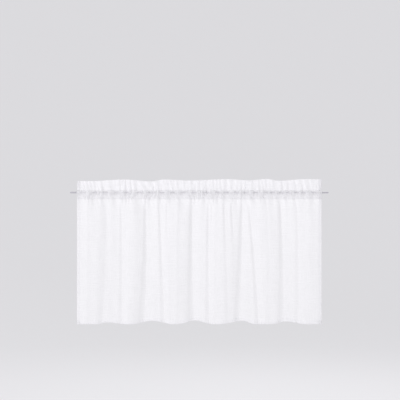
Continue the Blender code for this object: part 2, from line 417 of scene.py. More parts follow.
    def heading_wave(self, x: Array, z: Array) -> Array:
        """The heading's pleats: a broad and a fine sine, whose phase and size wander with noise.

        The fine sine is large where the broad one is small.

        Args:
            x: The place along the seam.
            z: The height.

        Returns:
            The pleats' depth as a share of the tucks'.
        """
        wander, change = (self.noise(kind, x, z) for kind in self.heading_noises)
        size = self.heading_size[0] + self.heading_size[1] * change
        broad, fine = (2 * math.pi * x / pitch for pitch in self.heading_pitches)
        broad_phase, fine_phase = self.heading_phases
        small = (self.fine_pleat_most - size) * self.fine_pleat_share * np.sin(fine + fine_phase * wander)
        return size * np.sin(broad + broad_phase * wander) + small

    def bow(self, x: Array, down: Array) -> Array:
        """The forward bow between a flank and the next crease: a skewed half sine.

        Args:
            x: The place along the seam.
            down: 0 at the casing, 1 at the hem.

        Returns:
            How far the cloth stands forward, in metres.
        """
        edge = self.hung_width / 2
        starts = [np.full_like(down, -edge)]
        starts += [fold.top + fold.flank(down) for fold in self.folds]
        ends = [fold.top for fold in self.folds] + [edge]
        out = np.zeros_like(x + down)
        for start, end in zip(starts, ends):
            share = np.clip((x - start) / (end - start), 0.0, 1.0)
            out += self.swell * (end - start) * np.sin(math.pi * share**self.swell_skew)
        return out

    def fold_wave(self, x: Array, down: Array) -> Array:
        """The folds' depth before scaling: the recesses of all folds less the bows.

        Args:
            x: The place along the seam.
            down: 0 at the casing, 1 at the hem.

        Returns:
            The depth, in metres.
        """
        depth = -self.bow(x, down)
        crease_half = blend(*self.crease_half, down)
        small_half = blend(*self.small_half, down)
        for fold in self.folds:
            section = recess(x - fold.top, crease_half, fold.flank(down), self.lead, self.lead_share)
            depth += self.fold_depth * fold.depth * section
        hung = self.hung_x(x, down)
        for fold in self.small_folds:
            line = fold.top + path_shift(fold.middle - fold.top, fold.hem - fold.top, down)
            size = blend(fold.depth_top, fold.depth_hem, eased(2.0 * down))
            depth += size * recess(hung - line, small_half, fold.flank, fold.flank, 0.0)
        return depth

    def natural_depth(self, x: Array, z: Array) -> Array:
        """Tucks, pleats and folds together before scaling, each by its share at the height.

        Args:
            x: The place along the seam.
            z: The height.

        Returns:
            The depth, in metres.
        """
        fine = self.at_level(z, Share.FINE)
        wave = (1.0 - fine) * self.tuck_wave(x) + fine * self.heading_wave(x, z)
        tucks = self.at_level(z, Share.TUCKS) * self.tuck_depth * wave
        return tucks + self.at_level(z, Share.FOLDS) * self.fold_wave(x, self.down(z))

    def noise(self, kind: Wander, x: Array, z: Array) -> Array:
        """Smooth noise: chance values on a grid, eased between its points.

        Args:
            kind: Which noise.
            x: The place across the cloth.
            z: The height.

        Returns:
            The noise, from -1 to 1.
        """
        grid = self._chances[kind.sheet]
        across = x / kind.width + kind.start
        along = z / kind.height + self.chance_rise
        rows, columns = np.floor(across).astype(int), np.floor(along).astype(int)
        right, up = eased(across - rows), eased(along - columns)
        total = np.zeros_like(across + along)
        for i, weight_i in ((0, 1.0 - right), (1, right)):
            for j, weight_j in ((0, 1.0 - up), (1, up)):
                value = grid[(rows + i) % grid.shape[0], (columns + j) % grid.shape[1]]
                total += weight_i * weight_j * value
        return total

    def puckers(self, x: Array, z: Array, kinds: tuple[Wander, Wander]) -> Array:
        """The small gathers at the seams: rounded ridges between sharp grooves.

        They are the size of a sine across the cloth, whose phase and strength wander with noise.

        Args:
            x: The place along the seam.
            z: The height.
            kinds: The front's two noises or the back's.

        Returns:
            The gathers' height, in metres.
        """
        wander, change = (self.noise(kind, x, z) for kind in kinds)
        strength = self.pucker_strength[0] + self.pucker_strength[1] * change
        ridges = np.abs(np.sin(math.pi * x / self.pucker_pitch + self.pucker_phase * wander))
        return self.pucker_depth * strength * ridges

    def detail(self, x: Array, z: Array) -> Array:
        """The fine shape over the folds: puckers near the seams, and crumples.

        The crumples are noise drawn out along the cloth.

        Args:
            x: The place along the seam.
            z: The height.

        Returns:
            The depth that they add, in metres.
        """
        hung = self.hung_x(x, self.down(z))
        near = bell(z - self.lower_seam, self.seam_pucker_reach)
        near = np.maximum(near, bell(z - self.upper_seam, self.seam_pucker_reach))
        crumples = self.crumple_depth * self.noise(self.crumples, hung, z)
        return crumples - near * self.puckers(x, z, self.front_puckers)

    def lift(self, x: Array, z: Array) -> Array:
        """How far the cloth stands above its height.

        Near the hem it is each scallop's eased bump, growing as the cube of the way down. Over the
        upper seam it is the heading's own crests.

        Args:
            x: The place along the seam.
            z: The height.

        Returns:
            The rise, in metres.
        """
        down = self.down(z)
        across = self.hung_x(x, down)
        raised = np.zeros_like(across)
        for scallop in self.scallops:
            reach = np.where(across < scallop.x, scallop.left, scallop.right)
            raised += scallop.rise * eased(1.0 - np.abs(across - scallop.x) / reach)
        places = np.array([crest.x for crest in self.crests])
        rises = np.array([crest.rise for crest in self.crests])
        share = np.clip((z - self.upper_seam) / (self.heading_top - self.upper_seam), 0.0, 1.0)
        return raised * down**3 + share * through(x, places, rises)

    def depth(self, x: Array, z: Array) -> Array:
        """The cloth's depth with every fold in it, scaled to take up the flat width.

        Args:
            x: The place along the seam.
            z: The height.

        Returns:
            The depth towards the back, in metres.
        """
        scale = np.interp(z, self._heights, self._scales)
        mean = np.interp(z, self._heights, self._means)
        return scale * (self.natural_depth(x, z) - mean) + self.detail(x, z)

    def place(self, x: Array, z: Array, side: Array, off: Array, up: Array) -> Array:
        """Points on the cloth or beside it.

        The cloth's depth is the drape's, and round the rod it is drawn towards a ring outside the
        rod, on the side that the layer is on. A layer stands off along the drape's own normal in
        the horizontal plane.

        Args:
            x: The place along the seam.
            z: The height.
            side: -1 on the front layer, 1 on the back layer.
            off: How far the layer stands behind the middle surface, less than 0 in front of it.
            up: How far the point stands above the layer's own height, at a fold's tip.

        Returns:
            An array of points, with X, Y and Z on the last axis.
        """
        x, z, side, off, up = np.broadcast_arrays(x, z, side, off, up)
        depth = self.depth(x, z)
        slope = (self.depth(x + self.slope_step, z) - depth) / self.slope_step
        length = np.hypot(1.0, slope)
        puff = self.puff_share * np.maximum(0.0, self.contact_share * self.tuck_depth + side * depth)
        loose = np.clip(puff / self.tuck_depth, 0.0, 1.0)
        front, back = self.puckers(x, z, self.front_puckers), self.puckers(x, z, self.back_puckers)
        pucker = loose * np.where(side < 0, front, back)
        ring = side * (self.rod_radius + self.rod_gap + puff + pucker)
        share = self.at_level(z, Share.ROUND_ROD)
        across = self.hung_x(x, self.down(z)) - off * slope / length
        behind = blend(depth, ring, share) + off / length
        return np.stack([across, behind, z + self.lift(x, z) + up], axis=-1)


def unit(vectors: Array) -> Array:
    """The vectors, each made 1 long."""
    return vectors / np.linalg.norm(vectors, axis=-1, keepdims=True)


def set_mesh(name: str, points: Array, faces: list[Array]) -> Piece:
    """Makes a smooth mesh object at the origin.

    Args:
        name: The object's name.
        points: The vertices, one row each.
        faces: Arrays of vertex numbers, each with one face a row.

    Returns:
        The linked object.
    """
    corners = np.concatenate([part.ravel() for part in faces]).astype(np.int32)
    sizes = np.concatenate([np.full(len(part), part.shape[1]) for part in faces])
    starts = np.concatenate([[0], np.cumsum(sizes)[:-1]]).astype(np.int32)
    mesh = bpy.data.meshes.new(name)
    mesh.vertices.add(len(points))
    mesh.vertices.foreach_set("co", points.astype(np.float32).ravel())
    mesh.loops.add(len(corners))
    mesh.loops.foreach_set("vertex_index", corners)
    mesh.polygons.add(len(sizes))
    mesh.polygons.foreach_set("loop_start", starts)
    mesh.update(calc_edges=True)
    mesh.validate()
    mesh.shade_smooth()
    made = bpy.data.objects.new(name, mesh)
    bpy.context.scene.collection.objects.link(made)
    return made


def grid_faces(rows: int, columns: int) -> Array:
    """The quads of a grid whose points run along each row in turn.

    Args:
        rows: How many rows of points.
        columns: How many points in a row.

    Returns:
        Four vertex numbers for each quad.
    """
    start = np.arange(rows - 1)[:, None] * columns + np.arange(columns - 1)[None, :]
    quads = np.stack([start, start + 1, start + columns + 1, start + columns], axis=-1)
    return quads.reshape(-1, 4)


def tube_faces(tubes: int, rings: int, sides: int) -> list[Array]:
    """The faces of closed tubes, whose points run round each ring, then along the tube.

    Args:
        tubes: How many tubes follow each other.
        rings: How many rings a tube has.
        sides: How many points a ring has.

    Returns:
        The walls' quads, then the faces that close the first and the last rings.
    """
    tube = np.arange(tubes)[:, None] * rings * sides
    ring = tube[:, :, None] + np.arange(rings - 1)[None, :, None] * sides
    side = np.arange(sides)[None, None, :]
    after = (side + 1) % sides
    walls = np.stack([ring + side, ring + after, ring + sides + after, ring + sides + side], axis=-1)
    near = tube + np.arange(sides)[None, ::-1]
    far = tube + (rings - 1) * sides + np.arange(sides)[None, :]
    return [walls.reshape(-1, 4), near, far]


def outward_faces(piece: Piece) -> None:
    """Turns every face of a mesh of closed shells outwards.

    Args:
        piece: The mesh object.
    """
    shells = bmesh.new()
    shells.from_mesh(piece.data)
    bmesh.ops.recalc_face_normals(shells, faces=shells.faces)
    shells.to_mesh(piece.data)
    shells.free()


def set_uv(piece: Piece, uv: Array) -> None:
    """Gives a mesh a UV map named flat.

    Args:
        piece: The mesh object.
        uv: One (u, v) for each vertex.
    """
    mesh = piece.data
    corners = np.empty(len(mesh.loops), dtype=np.int32)
    mesh.loops.foreach_get("vertex_index", corners)
    layer = mesh.uv_layers.new(name="flat")
    layer.data.foreach_set("uv", uv[corners].astype(np.float32).ravel())


def set_attribute(piece: Piece, name: str, values: Array) -> None:
    """Gives a mesh one number for each vertex."""
    layer = piece.data.attributes.new(name, "FLOAT", "POINT")
    layer.data.foreach_set("value", values.astype(np.float32).ravel())


class Shading:
    """A small hand for building a material's nodes."""

    def __init__(self, name: str) -> None:
        """Starts an empty material.

        Args:
            name: The material's name.
        """
        self.material = bpy.data.materials.new(name)
        self.material.use_nodes = True
        self.tree = self.material.node_tree
        self.tree.nodes.clear()
        self.output = self.tree.nodes.new("ShaderNodeOutputMaterial")

    def add(self, kind: str, settings: dict | None = None, **inputs: object) -> Node:
        """Adds a node.

        Args:
            kind: The node's type, without ShaderNode.
            settings: The node's own properties.
            **inputs: Values or sockets for the inputs, by name, with _ for a space.

        Returns:
            The new node.
        """
        node = self.tree.nodes.new("ShaderNode" + kind)
        for name, value in (settings or {}).items():
            setattr(node, name, value)
        for name, value in inputs.items():
            self.give(node.inputs[name.replace("_", " ")], value)
        return node

    def give(self, socket: Socket, value: object) -> None:
        """Links a socket into an input, or sets the input's own value.

        Args:
            socket: The input.
            value: Another node's output, or a plain value.
        """
        if isinstance(value, Socket):
            self.tree.links.new(value, socket)
        else:
            socket.default_value = value

    def maths(self, operation: str, *values: object) -> Socket:
        """Works out one operation on sockets or numbers.

        Args:
            operation: The Math node's operation.
            *values: What goes into it, in order.

        Returns:
            The result.
        """
        node = self.add("Math", {"operation": operation})
        for socket, value in zip(node.inputs, values):
            self.give(socket, value)
        return node.outputs[0]

    def spread(self, value: object, span: Pair, to: Pair) -> Socket:
        """Maps one span of values to another in a straight line, and holds the ends.

        Args:
            value: What is mapped.
            span: The low and the high end that it comes from.
            to: What they become.

        Returns:
            The mapped value.
        """
        node = self.add("MapRange", {"clamp": True})
        for socket, given in zip(node.inputs, (value, *span, *to)):
            self.give(socket, given)
        return node.outputs[0]

    def flat_noise(self, where: Socket, scale: Pair, detail: float) -> Socket:
        """Noise on a stretched copy of flat coordinates.

        Args:
            where: The coordinates.
            scale: How many cells a metre holds, along each.
            detail: How many finer noises are added.

        Returns:
            The noise, from 0 to 1.
        """
        mapped = self.add("Mapping", Vector=where, Scale=(*scale, 1.0))
        made = self.add("TexNoise", {"noise_dimensions": "2D"}, Vector=mapped.outputs[0],
                        Scale=1.0, Detail=detail, Roughness=0.5)
        return made.outputs["Fac"]

    def solid_noise(self, where: Socket, scale: float, detail: float) -> Socket:
        """Noise in space.

        Args:
            where: The coordinates.
            scale: How many cells a metre holds.
            detail: How many finer noises are added.

        Returns:
            The noise, from 0 to 1.
        """
        return self.add("TexNoise", Vector=where, Scale=scale, Detail=detail).outputs["Fac"]

    def tint(self, share: Socket, first: Triple, second: Triple) -> Socket:
        """Mixes two colours.

        Args:
            share: 0 for the first, 1 for the second.
            first: The first colour.
            second: The second colour.

        Returns:
            The mixed colour.
        """
        return self.add("MixRGB", Fac=share, Color1=(*first, 1.0), Color2=(*second, 1.0)).outputs[0]

    def bump(self, height: Socket, strength: float, depth: float) -> Socket:
        """Turns a height into a normal.

        Args:
            height: The height, as a share of the depth.
            strength: How much of it counts.
            depth: The depth in metres.

        Returns:
            The normal.
        """
        return self.add("Bump", Strength=strength, Distance=depth, Height=height).outputs[0]

    def mix(self, share: object, first: Node, second: Node) -> Node:
        """Mixes two shaders.

        Args:
            share: 0 for the first, 1 for the second.
            first: The first shader.
            second: The second shader.

        Returns:
            The mixing node.
        """
        node = self.add("MixShader", Fac=share)
        self.give(node.inputs[1], first.outputs[0])
        self.give(node.inputs[2], second.outputs[0])
        return node

    def finish(self, surface: Node) -> Material:
        """Makes a shader node the material's surface, and gives back the material."""
        self.give(self.output.inputs["Surface"], surface.outputs[0])
        return self.material


def shaded(colour: Triple, share: float) -> Triple:
    """A colour with that share of its brightness."""
    return tuple(share * part for part in colour)


@dataclass(frozen=True)
class VoileFinish:
    """Sheer plain-weave voile with the slubs of linen, white and matt.

    A scale is in cells to the metre, across the cloth and along it. A span is the part of a noise
    that is used.
    """

    name: str
    colour: Triple = (0.972, 0.970, 0.978)
    slub_colour: float = 0.97
    open_share: float = 0.31
    slub_share: float = 0.16
    cloud_share: float = 0.05
    yarn_share: float = 0.28
    yarn_pitch: float = 0.0011
    warp_scale: Pair = (850.0, 22.0)
    weft_scale: Pair = (24.0, 850.0)
    slub_detail: float = 3.0
    slub_span: Pair = (0.42, 0.72)
    cloud_scale: Pair = (34.0, 26.0)
    cloud_detail: float = 2.0
    cloud_span: Pair = (0.3, 0.7)
    slub_height: float = 0.6
    yarn_height: float = -0.4
    bump_strength: float = 0.35
    bump_depth: float = 0.0004
    glow: float = 0.48
    roughness: float = 0.85
    sheen: float = 0.15
    sheen_roughness: float = 0.5
    shine: float = 0.25

    def material(self) -> Material:
        """Builds the material.

        The share of gaps is the open share less what thick yarns fill, both along and across the
        cloth. What isn't gap is part matt front and part glow of the light from behind.

        Returns:
            The material, which reads the flat UV map in metres and the cover attribute.
        """
        s = Shading(self.name)
        flat = s.add("UVMap", {"uv_map": "flat"}).outputs[0]
        warp = s.flat_noise(flat, self.warp_scale, self.slub_detail)
        weft = s.flat_noise(flat, self.weft_scale, self.slub_detail)
        cloud = s.flat_noise(flat, self.cloud_scale, self.cloud_detail)
        warp_slub = s.spread(warp, self.slub_span, (0.0, 1.0))
        weft_slub = s.spread(weft, self.slub_span, (0.0, 1.0))
        slubs = s.maths("MAXIMUM", warp_slub, weft_slub)
        yarns = self.yarns(s, flat)
        cover = s.add("Attribute", {"attribute_name": "cover"}).outputs["Fac"]

        gaps = s.maths("MULTIPLY_ADD", slubs, -self.slub_share, self.open_share)
        clouds = s.spread(cloud, self.cloud_span, (-0.5, 0.5))
        gaps = s.maths("MULTIPLY_ADD", clouds, self.cloud_share, gaps)
        between_yarns = s.spread(yarns, (0.0, 1.0), (1.0 - self.yarn_share, 1.0 + self.yarn_share))
        gaps = s.maths("MULTIPLY", gaps, between_yarns)
        # The cover attribute fills or opens the gaps: the hems' real double cloth, painted shade round
        # the rod and painted light at the hem's corners.
        gaps = s.maths("MULTIPLY", gaps, s.maths("SUBTRACT", 1.0, cover))

        yarn_relief = s.maths("MULTIPLY", yarns, self.yarn_height)
        relief = s.maths("MULTIPLY_ADD", slubs, self.slub_height, yarn_relief)
        bump = s.bump(relief, self.bump_strength, self.bump_depth)
        tint = s.tint(slubs, self.colour, shaded(self.colour, self.slub_colour))
        front = s.add("BsdfPrincipled", Base_Color=tint, Roughness=self.roughness, Normal=bump,
                      Sheen_Weight=self.sheen, Sheen_Roughness=self.sheen_roughness,
                      Specular_IOR_Level=self.shine)
        behind = s.add("BsdfTranslucent", Color=tint, Normal=bump)
        cloth = s.mix(self.glow, front, behind)
        return s.finish(s.mix(gaps, cloth, s.add("BsdfTransparent")))

    def yarns(self, s: Shading, flat: Socket) -> Socket:
        """The plain weave: the product of two sine waves, one across the cloth and one along it.

        Args:
            s: The material's hand.
            flat: The flat coordinates, in metres.

        Returns:
            1 in the gaps, 0 on the yarns.
        """
        parts = s.add("SeparateXYZ", Vector=flat)
        waves = []
        for axis in ("X", "Y"):
            turns = s.maths("MULTIPLY", parts.outputs[axis], 2 * math.pi / self.yarn_pitch)
            waves.append(s.maths("MULTIPLY_ADD", s.maths("SINE", turns), 0.5, 0.5))
        return s.maths("MULTIPLY", *waves)


@dataclass(frozen=True)
class ThreadFinish:
    """White sewing thread with the twist of its strands."""

    name: str
    colour: Triple = (0.90, 0.90, 0.92)
    strand_colour: float = 0.9
    strand_scale: float = 2400.0
    strand_detail: float = 2.0
    bump_strength: float = 0.4
    bump_depth: float = 0.0001
    roughness: float = 0.55

    def material(self) -> Material:
        """Builds the material, on Object coordinates.

        Returns:
            The material.
        """
        s = Shading(self.name)
        where = s.add("TexCoord").outputs["Object"]
        strands = s.solid_noise(where, self.strand_scale, self.strand_detail)
        tint = s.tint(strands, shaded(self.colour, self.strand_colour), self.colour)
        bump = s.bump(strands, self.bump_strength, self.bump_depth)
        return s.finish(s.add("BsdfPrincipled", Base_Color=tint, Roughness=self.roughness, Normal=bump))


@dataclass(frozen=True)
class RodPaintFinish:
    """White stoving paint on a drawn tube: satin, faintly uneven, with small scuffs. Its white is painted
    a mid grey, painted shade for the rod's shaded front.
    """

    name: str
    # Painted shade: a mid grey stands in for the white paint, the tone of the rod's shaded front. The
    # darker worn grey is the scuffs' wear on it.
    colour: Triple = (0.51, 0.50, 0.54)
    worn: Triple = (0.43, 0.42, 0.46)
    streak_scale: Triple = (14.0, 500.0, 500.0)
    streak_detail: float = 3.0
    streak_span: Pair = (0.3, 0.7)
    streak_height: float = 0.5
    peel_scale: float = 900.0
    peel_detail: float = 2.0
    scuff_scale: float = 160.0
    scuff_detail: float = 5.0
    scuff_span: Pair = (0.66, 0.74)
    most_worn: float = 0.7
    bump_strength: float = 0.12
    bump_depth: float = 0.0001
    roughness: Pair = (0.30, 0.46)

    def material(self) -> Material:
        """Builds the material, on Object coordinates.

        Returns:
            The material.
        """
        s = Shading(self.name)
        where = s.add("TexCoord").outputs["Object"]
        drawn = s.add("Mapping", Vector=where, Scale=self.streak_scale).outputs[0]
        streaks = s.solid_noise(drawn, 1.0, self.streak_detail)
        peel = s.solid_noise(where, self.peel_scale, self.peel_detail)
        scuffs = s.solid_noise(where, self.scuff_scale, self.scuff_detail)
        tint = s.tint(s.spread(scuffs, self.scuff_span, (0.0, self.most_worn)), self.colour, self.worn)
        rough = s.spread(streaks, self.streak_span, self.roughness)
        relief = s.maths("MULTIPLY_ADD", streaks, self.streak_height, peel)
        bump = s.bump(relief, self.bump_strength, self.bump_depth)
        return s.finish(s.add("BsdfPrincipled", Base_Color=tint, Roughness=rough, Normal=bump))


@dataclass(frozen=True)
class StageFinish:
    """Plain pale studio paper with an even glow, so that the sheer cloth has light behind it."""

    name: str
    colour: Triple = (0.30, 0.30, 0.30)
    light: Triple = (0.468, 0.464, 0.482)
    glow: float = 1.0
    roughness: float = 0.9

    def material(self) -> Material:
        """Builds the material.

        Returns:
            The material.
        """
        s = Shading(self.name)
        return s.finish(s.add("BsdfPrincipled", Base_Color=(*self.colour, 1.0), Roughness=self.roughness,
                              Emission_Color=(*self.light, 1.0), Emission_Strength=self.glow))


@dataclass
class CurtainCloth:
    """The curtain: one hemmed sheet, from the turned hem up the front and down the facing.

    A cover is the share of the weave's gaps that is filled, less than 0 where they widen; round the rod
    it is painted shade and at the hem's corners painted light. A turned side hem stands off by
    tucked_share of the layer's own distance where the cloth is double.
    """

    drape: Drape
    name: str = "curtain_cloth"
    columns: int = 600
    side_hem_columns: int = 6
    hem_rows: int = 7
    body_rows: int = 62
    casing_rows: int = 16
    heading_rows: int = 12
    tip_rows: int = 3
    body_row_power: float = 1.35
    tucked_share: float = 0.43
    hem_cover: float = 0.15
    # Painted light: the weave at the hem's corners is opened, so that they show lighter than their
    # stacked layers are lit.
    corner_painted_light_cover: float = -1.60
    # Painted shade along the rod: the weave closed on the puffs, which then show lighter, and opened
    # where the cloth is tight on the rod, which then shows darker.
    puff_painted_light_cover: float = 0.70
    tight_painted_shade_cover: float = -0.80
    tight_from: float = -0.5

    def path(self) -> dict[str, Array]:
        """The rows from the hem's turned edge to the facing's lower edge.

        The front and the back stand the drape's layer_half off the middle surface, and each fold's
        tip is a half circle of that radius between them.

        Returns:
            For each row its height, side, stand-off and rise at a tip.
        """
        d = self.drape
        turned = np.linspace(d.hem_edge + d.hem_depth, d.hem_edge, self.hem_rows)
        share = np.linspace(0.0, 1.0, self.body_rows)
        body = blend(d.hem_edge, d.lower_seam, 1.0 - (1.0 - share) ** self.body_row_power)
        casing = np.linspace(d.lower_seam, d.upper_seam, self.casing_rows)
        heading = np.linspace(d.upper_seam, d.heading_top - d.layer_half, self.heading_rows)
        front = np.concatenate([body, casing[1:], heading[1:]])
        back = np.concatenate([heading[::-1], casing[::-1][1:]])
        angle = np.linspace(0.0, math.pi, self.tip_rows + 2)[1:-1]
        bottom, top = np.full(self.tip_rows, turned[-1]), np.full(self.tip_rows, front[-1])
        ones = [np.ones(len(part)) for part in (turned, bottom, front, top, back)]
        off = np.concatenate([ones[0], np.cos(angle), -ones[2], -np.cos(angle), ones[4]])
        up = np.concatenate([0 * ones[0], -np.sin(angle), 0 * ones[2], np.sin(angle), 0 * ones[4]])
        return {
            "z": np.concatenate([turned, bottom, front, top, back]),
            "side": np.concatenate([-ones[0], -ones[1], -ones[2], -np.cos(angle), ones[4]]),
            "off": d.layer_half * off,
            "up": d.layer_half * up,
        }

    def spans(self) -> dict[str, Array]:
        """The columns from one side hem's turned edge, across the curtain, to the other's.

        Returns:
            For each column its x, and whether it lies on a turned side hem.
        """
        edge = self.drape.hung_width / 2
        inner = np.linspace(edge - self.drape.side_hem, edge, self.side_hem_columns)
        across = np.linspace(-edge, edge, self.columns)
        x = np.concatenate([-inner, across, inner[::-1]])
        column = np.arange(len(x))
        turned = (column < len(inner)) | (column >= len(x) - len(inner))
        return {"x": x, "turned": turned}

    def points(self) -> tuple[Array, dict[str, Array]]:
        """Lays the sheet on the drape.

        A turned side hem lies behind the face on the cloth's wrong side. Where the cloth is double
        it stands less far off, so that it stays between the two layers.

        Returns:
            The points, rows by columns by 3, and each one's height, x and whether it is turned in.
        """
        rows, spans = self.path(), self.spans()
        z = rows["z"][:, None]
        x = np.broadcast_to(spans["x"][None, :], (len(rows["z"]), len(spans["x"])))
        double = (z > self.drape.lower_seam) | (z < self.drape.hem_edge + self.drape.hem_depth)
        facing = np.where(rows["side"][:, None] < 0, -1.0, 1.0)
        turned = spans["turned"][None, :]
        off = rows["off"][:, None]
        off = np.where(turned, np.where(double, off * self.tucked_share, -off), off)
        up = rows["up"][:, None] * np.where(turned, self.tucked_share, 1.0)
        return self.drape.place(x, z, facing, off, up), {"z": z, "x": x, "turned": turned}

    def rod_painted_shade_cover(self, x: Array, z: Array) -> Array:
        """Painted shade round the rod: the weave closed on a puff, so it shows lighter, and opened where
        it is tight, so the rod shows darker through it.

        It eases from one to the other as the tuck wave rises by 1 from tight_from.

        Args:
            x: The place along the seam.
            z: The height.

        Returns:
            The share of the gaps that is filled, less than 0 where they widen.
        """
        tight = eased(self.drape.tuck_wave(x) - self.tight_from)
        return blend(self.puff_painted_light_cover, self.tight_painted_shade_cover, tight) * self.drape.at_level(z, Share.ROUND_ROD)

    def build(self) -> Piece:
        """Builds the sheet with its flat UV map in metres and its cover attribute.

        The flat place of a point is its distance along its own row and its own column.

        Returns:
            The cloth object.
        """
        place, at = self.points()
        rows, columns = place.shape[:2]
        cloth = set_mesh(self.name, place.reshape(-1, 3), [grid_faces(rows, columns)])
        across = np.linalg.norm(np.diff(place, axis=1), axis=2)
        along = np.linalg.norm(np.diff(place, axis=0), axis=2).mean(axis=1)
        u = np.concatenate([np.zeros((rows, 1)), np.cumsum(across, axis=1)], axis=1)
        v = np.concatenate([[0.0], np.cumsum(along)])[:, None]
        set_uv(cloth, np.stack([u, np.broadcast_to(v, u.shape)], axis=-1).reshape(-1, 2))
        in_hem = at["z"] < self.drape.hem_edge + self.drape.hem_depth
        # Round the rod the cover is painted shade; in the hems it is the real, denser double cloth.
        cover = np.where(in_hem | at["turned"], self.hem_cover, self.rod_painted_shade_cover(at["x"], at["z"]))
        # Painted light: the hem's corners are opened so that they show lighter.
        cover = np.where(in_hem & at["turned"], self.corner_painted_light_cover, cover)
        set_attribute(cloth, "cover", cover)
        LOG.info("%s: %d by %d points, %.3f m by %.3f m flat", self.name, columns, rows,
                 float(u[:, -1].mean()), float(v[-1, 0]))
        return cloth

    def dress(self, cloth: Piece, finish: VoileFinish, stitches: list[Piece]) -> None:
        """Gives the cloth its finish and its place on the body, and hides the imported curtain.

        Args:
            cloth: The cloth.
            finish: Its finish.
            stitches: The rows of stitches that are sewn into it; not used.
        """
        cloth.data.materials.append(finish.material())
        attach(cloth, "root")
        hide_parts("curtain")


class Seam(Enum):
    """The rows of stitching, from the top down."""

    UPPER_CASING = "upper_casing"
    LOWER_CASING = "lower_casing"
    BOTTOM_HEM = "bottom_hem"
    LEFT_HEM = "left_hem"
    RIGHT_HEM = "right_hem"


@dataclass
class Stitching:
    """Rows of lockstitch: a short arched thread for each stitch, on both faces of the cloth."""

    drape: Drape
    stitch: float = 0.0028
    gap_share: float = 0.22
    thread_radius: float = 0.00019
    arch: float = 0.00016
    least_rise: float = 0.25
    thread_gap: float = 0.00005
    probe: float = 0.001
    seam_in: float = 0.0016
    rings: int = 5
    sides: int = 5

    def spaced(self, low: float, high: float, count: int) -> Array:
        """Where the rings of each stitch lie along a seam, with a gap after each stitch.

        Args:
            low: Where the seam starts.
            high: Where it ends.
            count: How many stitches it has.

        Returns:
            The places, stitches by rings.
        """
        share = np.linspace(self.gap_share / 2, 1.0 - self.gap_share / 2, self.rings)
        return low + (high - low) * (np.arange(count)[:, None] + share[None, :]) / count

    def lines(self, seam: Seam) -> tuple[Array, Array]:
        """Where each stitch of a seam lies.

        Args:
            seam: Which row of stitching.

        Returns:
            x and z of every ring of every stitch, stitches by rings.
        """
        d = self.drape
        if seam in (Seam.LEFT_HEM, Seam.RIGHT_HEM):
            low, high = d.hem_edge + self.seam_in, d.lower_seam - self.seam_in
            z = self.spaced(low, high, round((high - low) / self.stitch))
            side = -1.0 if seam is Seam.LEFT_HEM else 1.0
            inset = d.hung_width / 2 - d.side_hem + self.seam_in
            return np.full_like(z, side * inset), z
        height = {
            Seam.UPPER_CASING: d.upper_seam,
            Seam.LOWER_CASING: d.lower_seam + self.seam_in,
            Seam.BOTTOM_HEM: d.hem_edge + d.hem_depth - self.seam_in,
        }[seam]
        edge = d.hung_width / 2 - self.seam_in
        x = self.spaced(-edge, edge, round(d.flat_width / self.stitch))
        return x, np.full_like(x, height)

    def threads(self, seam: Seam, front: bool) -> Array:
        """The thread's rings on one face: circles of the thread's radius along an arch.

        Outward is the way to the same place, further off the cloth by probe.

        Args:
            seam: Which row of stitching.
            front: True for the front face, False for the back.

        Returns:
            The points, stitches by rings by sides by 3.
        """
        x, z = self.lines(seam)
        share = np.linspace(0.0, 1.0, self.rings)[None, :]
        rise = np.sin(math.pi * share)
        out = -1.0 if front else 1.0
        off = out * (self.drape.layer_half + self.thread_gap + self.arch * rise)
        centre = self.drape.place(x, z, out, off, 0.0)
        beyond = self.drape.place(x, z, out, off + out * self.probe, 0.0)
        outward = unit(beyond - centre)
        beside = unit(np.cross(unit(np.gradient(centre, axis=1)), outward))
        radius = (self.thread_radius * np.clip(rise, self.least_rise, 1.0) ** 0.5)[..., None, None]
        angle = 2 * math.pi * np.arange(self.sides)[:, None] / self.sides
        turn = np.cos(angle) * outward[..., None, :] + np.sin(angle) * beside[..., None, :]
        return centre[..., None, :] + radius * turn

    def build(self, seam: Seam) -> Piece:
        """Builds a seam's stitches as closed threads, one mesh for the seam.

        Args:
            seam: Which row of stitching.

        Returns:
            The seam's object.
        """
        rings = np.concatenate([self.threads(seam, True), self.threads(seam, False)])
        faces = tube_faces(len(rings), self.rings, self.sides)
        made = set_mesh(f"stitches_{seam.value}", rings.reshape(-1, 3), faces)
        outward_faces(made)
        return made

    def dress(self, row: Piece, material: Material) -> None:
        """Gives a row of stitches its finish and its place on the body.

        Args:
            row: The row of stitches.
            material: The thread's material.
        """
        row.data.materials.append(material)
        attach(row, "root")


@dataclass
class CurtainRod:
    """The slim round rod, with softly rounded ends."""

    length: float
    radius: float
    name: str = "curtain_rod"
    sides: int = 48
    end_round: float = 0.0007
    corner_rings: int = 5
    body_rings: int = 41

    def build(self) -> Piece:
        """Turns the rod's profile about X: a straight side between two quarter-round edges.

        Returns:
            The rod's object.
        """
        angle = np.linspace(0.0, math.pi / 2, self.corner_rings)
        corner_x = self.end_round * (1.0 - np.cos(angle))
        corner_r = self.radius - self.end_round * (1.0 - np.sin(angle))
        end = self.length / 2
        body = np.linspace(-end + self.end_round, end - self.end_round, self.body_rings)[1:-1]
        x = np.concatenate([-end + corner_x, body, end - corner_x[::-1]])[:, None]
        r = np.concatenate([corner_r, np.full(len(body), self.radius), corner_r[::-1]])[:, None]
        turn = 2 * math.pi * np.arange(self.sides) / self.sides
        x, y, z = np.broadcast_arrays(x, r * np.cos(turn), r * np.sin(turn))
        points = np.stack([x, y, z], axis=-1).reshape(-1, 3)
        rod = set_mesh(self.name, points, tube_faces(1, len(x), self.sides))
        outward_faces(rod)
        LOG.info("%s: %.3f m long, %.1f mm thick", self.name, self.length, 2 * self.radius * MILLIMETRES)
        return rod

    def dress(self, rod: Piece, finish: RodPaintFinish) -> None:
        """Gives the rod its paint and its place on the body.

        Args:
            rod: The rod.
            finish: Its paint.
        """
        rod.data.materials.append(finish.material())
        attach(rod, "root")
        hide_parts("rod")


